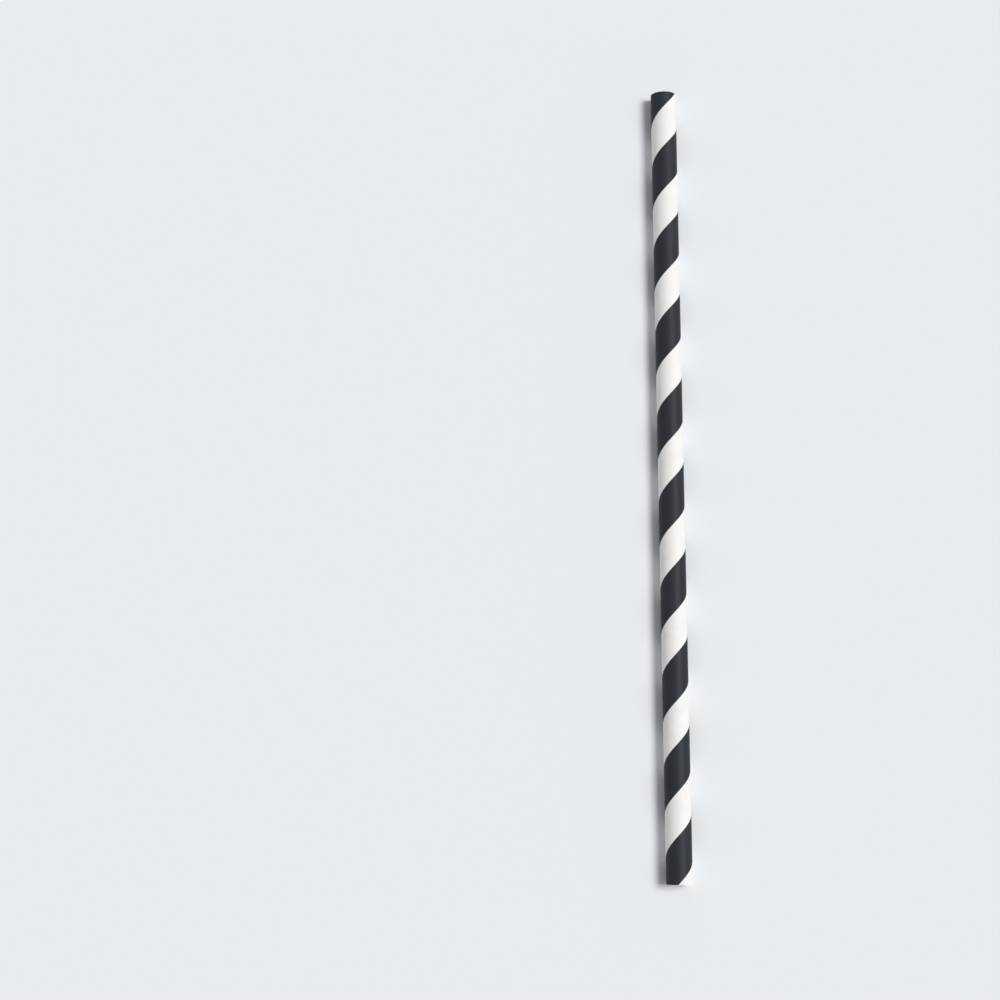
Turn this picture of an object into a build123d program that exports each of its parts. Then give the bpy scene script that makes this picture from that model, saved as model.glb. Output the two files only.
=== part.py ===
from build123d import *
from math import hypot, pi, sqrt
import os

# Paper drinking straw: a tube wound on a slant from glued strips of paper, one on another,
# and cut square at both ends. It lies along Y on the plane Z = 0, with the origin under
# its middle.

# The tube
straw_length = 196.85
outside_diameter = 6.35
ply_thickness = 0.13
ply_count = 3

# Lying down has pressed the soft paper flat along the bottom, this far across
resting_flat = 1.1

# The strips run up to the right, and move on by this much in each turn
wind_lead = 21.4

# The joint where a strip's turns meet is a narrow groove between two rounded-off edges.
# This is the width of its mouth, measured square to them. Each joint crosses the top of
# the tube this far from mid-length.
joint_gap = 0.1
outer_joint_place = 5.3
inner_joint_place = 19.6

wall = ply_count * ply_thickness
outside_radius = outside_diameter / 2
bore_radius = outside_radius - wall
axis_height = sqrt(outside_radius**2 - (resting_flat / 2) ** 2)
flat_depth = outside_radius - axis_height

along = (0, 1, 0)
up = (0, 0, 1)
near_end = (0, -straw_length / 2, axis_height)
far_end = (0, straw_length / 2, axis_height)
cut_face = Plane(origin=near_end, x_dir=up, z_dir=along)


def width_around(radius):
    # The joint's width along the circle of a square cut
    return joint_gap * hypot(2 * pi * radius, wind_lead) / wind_lead


def angle_at_near_end(place):
    # How far round from the top, towards +X, the joint stands at the near end
    return 360 * (-straw_length / 2 - place) / wind_lead


def joint_section(radius, depth):
    # A notch with its tip this deep in the wall, as wide as the joint where it meets the
    # wall's face, and carried on past that face by as much again
    width = width_around(radius)
    Polygon((depth, 0), (-depth, width), (-depth, -width), align=None)


with BuildPart() as straw:
    with BuildSketch(cut_face):
        Circle(outside_radius)
        Circle(bore_radius, mode=Mode.SUBTRACT)
        with Locations((-outside_radius, 0)):
            Rectangle(2 * flat_depth, 2 * resting_flat, mode=Mode.SUBTRACT)
    extrude(amount=straw_length)

    # The outer and the inner strip's joints, each one ply deep
    with BuildSketch(cut_face):
        with PolarLocations(outside_radius, 1, angle_at_near_end(outer_joint_place)):
            joint_section(outside_radius, -ply_thickness)
        with PolarLocations(bore_radius, 1, angle_at_near_end(inner_joint_place)):
            joint_section(bore_radius, ply_thickness)

    # They follow the axis while a right-handed helix turns them
    with BuildLine() as axis_line:
        Line(near_end, far_end)
    with BuildLine() as winding:
        Helix(wind_lead, straw_length, outside_diameter, near_end, along)
    sweep(path=axis_line.line, binormal=winding.line.edge(), mode=Mode.SUBTRACT)

straw.part.label = "straw"

os.makedirs("parts", exist_ok=True)
export_step(straw.part, "parts/straw.step")
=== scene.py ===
from math import ceil, cos, floor, hypot, pi, radians, sin, tau

import bmesh
import bpy
from mathutils import Matrix, Vector, noise


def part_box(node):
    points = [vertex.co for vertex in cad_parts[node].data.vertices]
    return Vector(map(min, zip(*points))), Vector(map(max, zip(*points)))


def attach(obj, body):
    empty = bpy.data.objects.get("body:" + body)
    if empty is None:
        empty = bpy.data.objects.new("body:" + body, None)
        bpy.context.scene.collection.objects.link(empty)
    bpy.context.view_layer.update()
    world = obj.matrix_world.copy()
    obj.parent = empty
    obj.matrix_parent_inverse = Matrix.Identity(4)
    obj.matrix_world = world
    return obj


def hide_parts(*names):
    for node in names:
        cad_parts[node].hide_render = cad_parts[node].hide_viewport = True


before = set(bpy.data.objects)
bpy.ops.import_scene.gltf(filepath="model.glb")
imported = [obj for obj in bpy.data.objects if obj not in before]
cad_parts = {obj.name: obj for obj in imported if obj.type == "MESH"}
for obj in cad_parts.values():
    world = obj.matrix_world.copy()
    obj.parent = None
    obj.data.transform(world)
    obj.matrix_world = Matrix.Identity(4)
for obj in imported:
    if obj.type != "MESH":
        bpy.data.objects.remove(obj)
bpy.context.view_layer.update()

mm = 0.001

strawLow, strawHigh = (Vector(corner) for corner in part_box("straw"))
outerRadius = (strawHigh.x - strawLow.x) / 2
halfLength = (strawHigh.y - strawLow.y) / 2
axisHeight = strawHigh.z - outerRadius
strawAxis = Vector((0, 1, 0))
axisPoint = Vector((0, 0, axisHeight))


# Shader helpers

def newMaterial(name):
    material = bpy.data.materials.new(name)
    material.use_nodes = True
    tree = material.node_tree
    return material, tree, tree.nodes["Principled BSDF"]


def addNode(tree, kind, **settings):
    node = tree.nodes.new(kind)
    for name, value in settings.items():
        setattr(node, name, value)
    return node


def setInputs(node, **values):
    for name, value in values.items():
        node.inputs[name.replace("_", " ")].default_value = value


def linear(red, green, blue):
    # A colour as an eight-bit screen value, turned linear for a socket
    def channel(value):
        value /= 255
        return value / 12.92 if value <= 0.04045 else ((value + 0.055) / 1.055) ** 2.4
    return (channel(red), channel(green), channel(blue), 1)


def paperCoordinates(tree, alongScale, acrossScale):
    # The strip's own map, in metres: U runs along the strip, and V from its joint along the straw
    coordinates = addNode(tree, "ShaderNodeUVMap", uv_map="strip")
    mapping = addNode(tree, "ShaderNodeMapping")
    mapping.inputs["Scale"].default_value = (alongScale, acrossScale, 1)
    tree.links.new(coordinates.outputs["UV"], mapping.inputs["Vector"])
    return mapping.outputs["Vector"]


def objectCoordinates(tree):
    return addNode(tree, "ShaderNodeTexCoord").outputs["Object"]


def addNoise(tree, vector, scale, detail):
    texture = addNode(tree, "ShaderNodeTexNoise")
    setInputs(texture, Scale=scale, Detail=detail, Roughness=grain["noiseRoughness"])
    tree.links.new(vector, texture.inputs["Vector"])
    return texture.outputs["Fac"]


def remap(tree, value, span, low, high):
    # Spreads the values of a span from low to high, and holds them there past its ends
    node = addNode(tree, "ShaderNodeMapRange", clamp=True)
    setInputs(node, From_Min=span[0], From_Max=span[1], To_Min=low, To_Max=high)
    tree.links.new(value, node.inputs["Value"])
    return node.outputs["Result"]


def mixColours(tree, factor, first, second):
    # The Mix node's sockets 0, 6 and 7 are its factor and two colours, and output 2 is the mix
    node = addNode(tree, "ShaderNodeMix", data_type="RGBA")
    for place, value in ((0, factor), (6, first), (7, second)):
        if isinstance(value, tuple):
            node.inputs[place].default_value = value
        else:
            tree.links.new(value, node.inputs[place])
    return node.outputs[2]


def addBump(tree, shader, height, strength, distance, before=None):
    bump = addNode(tree, "ShaderNodeBump")
    setInputs(bump, Strength=strength, Distance=distance)
    tree.links.new(height, bump.inputs["Height"])
    if before is not None:
        tree.links.new(before, bump.inputs["Normal"])
    tree.links.new(bump.outputs["Normal"], shader.inputs["Normal"])
    return bump.outputs["Normal"]


# Paper and ink

# The paper's grain, which shows through the ink
grain = {
    "fibreAlong": 900,                # noise cells per metre, fewer along the fibres than across
    "fibreAcross": 3600,
    "fibreDetail": 4,
    "toothScale": 5200,
    "toothDetail": 2,
    "cloudScale": 420,
    "cloudDetail": 3,
    "noiseRoughness": 0.55,
    "height": 0.006 * mm,
}

# Each span is the noise over which a second colour or a rougher face comes in
paperLook = {
    "white": (241, 240, 238),         # the bleached outer ply
    "whiteShade": (233, 231, 227),    # where its fibres lie thin
    "whiteRoughness": 0.62,
    "inside": (226, 222, 213),        # the unprinted inner ply
    "insideShade": (214, 209, 198),
    "insideRoughness": 0.72,
    "cut": (232, 227, 216),           # torn fibre ends on the knife's cut
    "cutShade": (205, 198, 184),
    "cutRoughness": 0.77,
    "cloudSpan": (0.35, 0.7),
    "cloudShare": 0.55,
    "fibreSpan": (0.5, 0.75),
    "fibreShare": 0.5,
    "roughSpan": (0.3, 0.7),
    "smoother": 0.06,
    "rougher": 0.08,
    "fibreBump": 0.35,
    "toothBump": 0.25,
    "shine": 0.35,
}

inkLook = {
    "black": (29, 33, 38),            # one dark coat with a cool cast
    "thin": (42, 46, 51),             # where the coat is thin over a fibre
    "speck": (150, 150, 148),         # a pinhole in the coat
    "roughness": 0.55,
    "fibreSpan": (0.45, 0.8),
    "fibreShare": 0.6,
    "cloudSpan": (0.4, 0.75),
    "cloudShare": 0.35,
    "speckSpan": (0.74, 0.8),
    "speckShare": 0.6,
    "roughSpan": (0.3, 0.7),
    "smoother": 0.05,
    "rougher": 0.08,
    "fibreBump": 0.3,
    "toothBump": 0.2,
    "shine": 0.25,
}


def makeFibres(tree):
    # Long fibres along the strip, fine tooth in every direction, and slow clouds of density
    alongStrip = paperCoordinates(tree, grain["fibreAlong"], grain["fibreAcross"])
    fibres = addNoise(tree, alongStrip, 1, grain["fibreDetail"])
    tooth = addNoise(tree, objectCoordinates(tree), grain["toothScale"], grain["toothDetail"])
    clouds = addNoise(tree, objectCoordinates(tree), grain["cloudScale"], grain["cloudDetail"])
    return fibres, tooth, clouds


def addGrain(tree, shader, fibres, tooth, look):
    # Fibres stand up from the face, and the tooth stands half as high on them
    height = grain["height"]
    fibreNormal = addBump(tree, shader, fibres, look["fibreBump"], height)
    addBump(tree, shader, tooth, look["toothBump"], height / 2, fibreNormal)


def addSheen(tree, shader, unevenness, roughness, look):
    # A dull face, in places smoother and in places rougher
    smooth, rough = roughness - look["smoother"], roughness + look["rougher"]
    uneven = remap(tree, unevenness, look["roughSpan"], smooth, rough)
    tree.links.new(uneven, shader.inputs["Roughness"])
    setInputs(shader, Specular_IOR_Level=look["shine"])


def makePaper(name, sheet):
    # The sheet is the white outer ply, the inside or the cut
    look = paperLook
    material, tree, shader = newMaterial(name)
    fibres, tooth, clouds = makeFibres(tree)
    light, shade = linear(*look[sheet]), linear(*look[sheet + "Shade"])
    cloudShare = remap(tree, clouds, look["cloudSpan"], 0, look["cloudShare"])
    cloudy = mixColours(tree, cloudShare, light, shade)
    fibreShare = remap(tree, fibres, look["fibreSpan"], 0, look["fibreShare"])
    streaked = mixColours(tree, fibreShare, cloudy, shade)
    tree.links.new(streaked, shader.inputs["Base Color"])
    addSheen(tree, shader, tooth, look[sheet + "Roughness"], look)
    addGrain(tree, shader, fibres, tooth, look)
    return material


def makeInk():
    look = inkLook
    material, tree, shader = newMaterial("blackInk")
    fibres, tooth, clouds = makeFibres(tree)
    black, thin, speck = (linear(*look[colour]) for colour in ("black", "thin", "speck"))
    fibreShare = remap(tree, fibres, look["fibreSpan"], 0, look["fibreShare"])
    streaked = mixColours(tree, fibreShare, black, thin)
    cloudShare = remap(tree, clouds, look["cloudSpan"], 0, look["cloudShare"])
    cloudy = mixColours(tree, cloudShare, streaked, thin)
    speckShare = remap(tree, tooth, look["speckSpan"], 0, look["speckShare"])
    speckled = mixColours(tree, speckShare, cloudy, speck)
    tree.links.new(speckled, shader.inputs["Base Color"])
    addSheen(tree, shader, fibres, look["roughness"], look)
    addGrain(tree, shader, fibres, tooth, look)
    return material


# The straw: strips of paper wound on a slant, the outer one printed with a black band

strawShape = {
    "lead": 21.4 * mm,          # how far a strip moves on in one turn
    "wall": 0.39 * mm,
    "plies": 3,
    "outerJoint": 5.3 * mm,     # where each strip's joint crosses the top, from mid-length
    "innerJoint": 19.6 * mm,
    "inkStart": 4.14 * mm,      # the black band's edges, along the straw from the joint
    "inkEnd": 15.37 * mm,
    "stepsInTurn": 96,
    "whiteSteps": 7,            # faces across each white margin
    "inkSteps": 12,
    "innerSteps": 14,
    "jointDepth": 0.035 * mm,
    "jointWidth": 0.12 * mm,
    "lipHeight": 0.008 * mm,    # the strip's edge stands this proud of its middle
    "lipWidth": 0.7 * mm,
    "rimRound": 0.03 * mm,      # the knife rounds the cut's two corners
    "rimSteps": 12,
    "rimGroove": 0.035 * mm,    # between two plies at a cut end
    "grooveStart": 0.7,         # its share of the way from a ply's middle to its edge
    "grooveRange": (0.2, 0.8),  # the part of the wall that has grooves
    "rimFray": 0.02 * mm,
    "frayAround": 9,            # noise cells to a radius, and to the wall
    "frayAcross": 7,
    "sharpAngle": 40,           # degrees
    "mergeReach": 0.002 * mm,   # vertices of neighbouring turns within this are one
    "cutSnap": 0.0001 * mm,
    "cutReach": 0.01 * mm,      # how near an edge lies to a cut, and to a wall, to belong to it
    "wallReach": 0.1 * mm,
}

# The materials' places on the mesh
whitePlace, inkPlace, innerPlace, cutPlace = range(4)


def jointRelief(distance):
    # How far the strip's face lies below its lip, by the distance from the nearer edge
    shape = strawShape
    lipStart = shape["jointWidth"] / 2
    if distance < lipStart:
        return shape["jointDepth"] * (1 - distance / lipStart)
    if distance < shape["lipWidth"]:
        fall = (distance - lipStart) / (shape["lipWidth"] - lipStart)
        return shape["lipHeight"] * fall * fall * (3 - 2 * fall)
    return shape["lipHeight"]


def spread(start, end, count):
    return [start + (end - start) * step / count for step in range(count)]


def stripStations(edges, stepsBetween):
    # Stations across a strip, with close ones beside its two edges to shape the joint
    lead, joint, lip = strawShape["lead"], strawShape["jointWidth"], strawShape["lipWidth"]
    near = [0, joint / 2, joint, lip / 2, lip]
    inner = []
    marks = [near[-1], *edges, lead - near[-1]]
    for start, end, count in zip(marks, marks[1:], stepsBetween):
        inner += spread(start, end, count)
    return near[:-1] + inner + [lead - place for place in reversed(near)]


def windStrip(bm, radius, joint, stations, inward):
    # A line across the strip is spun once round the axis while it moves on by one lead,
    # and copies of that turn carry the winding past both ends
    shape = strawShape
    turnsBefore = ceil((halfLength + joint) / shape["lead"]) + 1
    turns = turnsBefore + ceil((halfLength - joint) / shape["lead"])
    start = joint - turnsBefore * shape["lead"]
    line = []
    for place in stations:
        relief = jointRelief(min(place, shape["lead"] - place))
        height = radius + relief if inward else radius - relief
        line.append(bm.verts.new((0, start + place, axisHeight + height)))
    edges = [bm.edges.new(pair) for pair in zip(line, line[1:])]
    steps = shape["stepsInTurn"]
    bmesh.ops.spin(bm, geom=line + edges, cent=axisPoint, axis=strawAxis, angle=tau,
                   dvec=strawAxis * (shape["lead"] / steps), steps=steps)
    oneTurn = bm.verts[:] + bm.edges[:] + bm.faces[:]
    for turn in range(1, turns):
        copied = bmesh.ops.duplicate(bm, geom=oneTurn)["geom"]
        copiedVerts = [item for item in copied if isinstance(item, bmesh.types.BMVert)]
        bmesh.ops.translate(bm, verts=copiedVerts, vec=strawAxis * (turn * shape["lead"]))
    bmesh.ops.remove_doubles(bm, verts=bm.verts, dist=shape["mergeReach"])
    for end in (-1, 1):
        whole = bm.verts[:] + bm.edges[:] + bm.faces[:]
        bmesh.ops.bisect_plane(bm, geom=whole, dist=shape["cutSnap"], clear_outer=True,
                               plane_co=strawAxis * (halfLength * end), plane_no=strawAxis * end)


def aroundAndAlong(point):
    # The angle from the top towards +X, and the place along the axis
    angle = Vector((point.z - axisHeight, point.x)).angle_signed(Vector((1, 0)), 0)
    return angle % tau, point.y


def mapStrip(bm, joint, layer):
    # U counts the length wound so far, and V the distance from the joint along the straw
    lead = strawShape["lead"]
    turnLength = hypot(tau * outerRadius, lead)
    for face in bm.faces:
        middle = face.calc_center_median()
        angle, along = aroundAndAlong(middle)
        turn = floor((along - joint) / lead - angle / tau)
        for loop in face.loops:
            loopAngle, loopAlong = aroundAndAlong(loop.vert.co)
            if loopAngle - angle > pi:
                loopAngle -= tau
            if angle - loopAngle > pi:
                loopAngle += tau
            across = loopAlong - joint - (turn + loopAngle / tau) * lead
            loop[layer].uv = ((turn + loopAngle / tau) * turnLength, across)


def placeAcross(face, joint):
    # The face's distance from the joint, along the straw
    angle, along = aroundAndAlong(face.calc_center_median())
    return (along - joint - angle / tau * strawShape["lead"]) % strawShape["lead"]


def makeWall(radius, joint, stations, inward):
    bm = bmesh.new()
    windStrip(bm, radius, joint, stations, inward)
    layer = bm.loops.layers.uv.new("strip")
    mapStrip(bm, joint, layer)
    return bm


def cutLoop(bm, end, radius):
    # The open edges at one cut end of the wall that has this radius
    shape = strawShape

    def onRim(vert):
        offCut = abs(vert.co.y - end * halfLength)
        offWall = abs(hypot(vert.co.x, vert.co.z - axisHeight) - radius)
        return offCut < shape["cutReach"] and offWall < shape["wallReach"]

    return [edge for edge in bm.edges if edge.is_boundary and all(map(onRim, edge.verts))]


def rimDepth(share, angle):
    # How far the cut face lies in from its plane, at a share of the way through the wall:
    # rounded corners, a groove between plies, and some fray
    shape = strawShape
    corner = min(share, 1 - share) * shape["wall"] / shape["rimRound"]
    depth = shape["rimRound"] * (1 - corner) ** 2 if corner < 1 else 0
    fromPlyMiddle = abs((share * shape["plies"]) % 1 - 0.5) * 2
    grooveLow, grooveHigh = shape["grooveRange"]
    if grooveLow < share < grooveHigh:
        inGroove = max(0, fromPlyMiddle - shape["grooveStart"]) / (1 - shape["grooveStart"])
        depth += shape["rimGroove"] * inGroove
    around, across = shape["frayAround"], shape["frayAcross"]
    fray = noise.noise(Vector((cos(angle) * around, sin(angle) * around, share * across)))
    return depth + shape["rimFray"] * (0.5 + 0.5 * fray)


def outerReach(angle):
    # The outer wall's distance from the axis, which the resting flat cuts short
    down = -cos(angle)
    return min(outerRadius, axisHeight / down) if down > 0 else outerRadius


def closeEnd(bm, end, innerRadius):
    # Rings run in from the outer wall's cut to the bore's, and the last is bridged to it
    shape = strawShape
    loop, boreLoop = cutLoop(bm, end, outerRadius), cutLoop(bm, end, innerRadius)
    for step in range(1, shape["rimSteps"] + 1):
        share = step / (shape["rimSteps"] + 1)
        made = bmesh.ops.extrude_edge_only(bm, edges=loop)["geom"]
        loop = [item for item in made if isinstance(item, bmesh.types.BMEdge)]
        for vert in {vert for edge in loop for vert in edge.verts}:
            angle = aroundAndAlong(vert.co)[0]
            reach = outerReach(angle)
            radius = reach - share * (reach - innerRadius)
            along = end * (halfLength - rimDepth(share, angle))
            vert.co = Vector((sin(angle) * radius, along, axisHeight + cos(angle) * radius))
    bmesh.ops.bridge_loops(bm, edges=loop + boreLoop)


def makeStraw():
    # The outer wall with its printed band, and the bore's wall, as one mesh
    shape = strawShape
    innerRadius = outerRadius - shape["wall"]
    inkEdges = (shape["inkStart"], shape["inkEnd"])
    outerSteps = (shape["whiteSteps"], shape["inkSteps"], shape["whiteSteps"])
    outerStations = stripStations(inkEdges, outerSteps)
    innerStations = stripStations((), (shape["innerSteps"],))
    outer = makeWall(outerRadius, shape["outerJoint"], outerStations, False)
    for face in outer.faces:
        inInk = inkEdges[0] < placeAcross(face, shape["outerJoint"]) < inkEdges[1]
        face.material_index = inkPlace if inInk else whitePlace
    inner = makeWall(innerRadius, shape["innerJoint"], innerStations, True)
    for face in inner.faces:
        face.material_index = innerPlace
    innerMesh = bpy.data.meshes.new("innerPly")
    inner.to_mesh(innerMesh)
    inner.free()
    outer.from_mesh(innerMesh)
    bpy.data.meshes.remove(innerMesh)

    # The flat that it rests on, and the two cut ends
    for vert in outer.verts:
        vert.co.z = max(vert.co.z, 0)
    walls = set(outer.faces)
    for end in (-1, 1):
        closeEnd(outer, end, innerRadius)
    for face in outer.faces:
        if face not in walls:
            face.material_index = cutPlace
        face.smooth = True
    bmesh.ops.recalc_face_normals(outer, faces=outer.faces)

    mesh = bpy.data.meshes.new("paperStraw")
    outer.to_mesh(mesh)
    outer.free()
    mesh.set_sharp_from_angle(angle=radians(shape["sharpAngle"]))
    straw = bpy.data.objects.new("paperStraw", mesh)
    bpy.context.collection.objects.link(straw)
    mesh.materials.append(makePaper("whitePaper", "white"))
    mesh.materials.append(makeInk())
    mesh.materials.append(makePaper("innerPaper", "inside"))
    mesh.materials.append(makePaper("cutPaper", "cut"))
    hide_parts("straw")
    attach(straw, "root")


# Floor, light and camera

studio = {
    "floorSize": 6.0,
    "floorSquares": 8,
    "floorColour": (232, 235, 238),
    "floorRoughness": 0.9,
    "floorShine": 0.1,
    "skyLight": 0.38,
    "skyColour": (1.0, 1.0, 1.0, 1),
    "backdropColour": (231, 234, 237),
    "windowLight": 2.2,
    "windowWidth": 24.0,        # degrees across, as wide as a near window, for a soft shadow
    "windowFrom": (0.54, 0.12, 1.1),    # the way from the straw to the window
}

photoView = {
    "place": (-87.013 * mm, -84.768 * mm, 466.486 * mm),
    "leanFromDown": 11.037,     # degrees that the lens looks ahead of straight down
    "turn": -29.659,            # degrees about the vertical
    "roll": 29.778,             # degrees about the lens's own axis
    "lens": 69.85,
    "sensor": 36,
    "clip": (0.01, 20),
}


def makeFloor():
    bm = bmesh.new()
    squares = studio["floorSquares"]
    bmesh.ops.create_grid(bm, x_segments=squares, y_segments=squares, size=studio["floorSize"] / 2)
    mesh = bpy.data.meshes.new("studioFloor")
    bm.to_mesh(mesh)
    bm.free()
    floorPiece = bpy.data.objects.new("studioFloor", mesh)
    bpy.context.collection.objects.link(floorPiece)
    material, tree, shader = newMaterial("studioFloor")
    setInputs(shader, Base_Color=linear(*studio["floorColour"]),
              Roughness=studio["floorRoughness"], Specular_IOR_Level=studio["floorShine"])
    mesh.materials.append(material)


def makeSky():
    # A white sky lights the straw, and what looks or mirrors straight into it sees the backdrop
    world = bpy.data.worlds.new("studioSky")
    bpy.context.scene.world = world
    world.use_nodes = True
    tree = world.node_tree
    background = tree.nodes["Background"]
    setInputs(background, Color=studio["skyColour"], Strength=studio["skyLight"])
    backdrop = addNode(tree, "ShaderNodeBackground")
    setInputs(backdrop, Color=linear(*studio["backdropColour"]), Strength=1.0)
    rays = addNode(tree, "ShaderNodeLightPath")
    seen = rays.outputs["Is Camera Ray"]
    for kind in ("Is Glossy Ray", "Is Transmission Ray"):
        either = addNode(tree, "ShaderNodeMath", operation="ADD", use_clamp=True)
        tree.links.new(seen, either.inputs[0])
        tree.links.new(rays.outputs[kind], either.inputs[1])
        seen = either.outputs[0]
    mix = addNode(tree, "ShaderNodeMixShader")
    tree.links.new(seen, mix.inputs[0])
    tree.links.new(background.outputs[0], mix.inputs[1])
    tree.links.new(backdrop.outputs[0], mix.inputs[2])
    tree.links.new(mix.outputs[0], tree.nodes["World Output"].inputs["Surface"])


def makeLamp():
    light = bpy.data.lights.new("windowLight", "SUN")
    light.energy = studio["windowLight"]
    light.angle = radians(studio["windowWidth"])
    lamp = bpy.data.objects.new("windowLight", light)
    bpy.context.collection.objects.link(lamp)
    lamp.location = studio["windowFrom"]
    lamp.rotation_euler = lamp.location.to_track_quat("Z", "Y").to_euler()


def makeCamera():
    view = photoView
    data = bpy.data.cameras.new("photoCamera")
    data.lens = view["lens"]
    data.sensor_width = view["sensor"]
    data.clip_start, data.clip_end = view["clip"]
    camera = bpy.data.objects.new("photoCamera", data)
    bpy.context.collection.objects.link(camera)
    turn = Matrix.Rotation(radians(view["turn"]), 4, "Z")
    lean = Matrix.Rotation(radians(view["leanFromDown"]), 4, "X")
    roll = Matrix.Rotation(radians(view["roll"]), 4, "Z")
    camera.matrix_world = Matrix.Translation(view["place"]) @ turn @ lean @ roll
    bpy.context.scene.camera = camera


makeStraw()
print("straw wound, cut and printed")
makeFloor()
makeSky()
makeLamp()
makeCamera()
bpy.context.scene.view_settings.view_transform = "Standard"
print("floor, light and camera set")
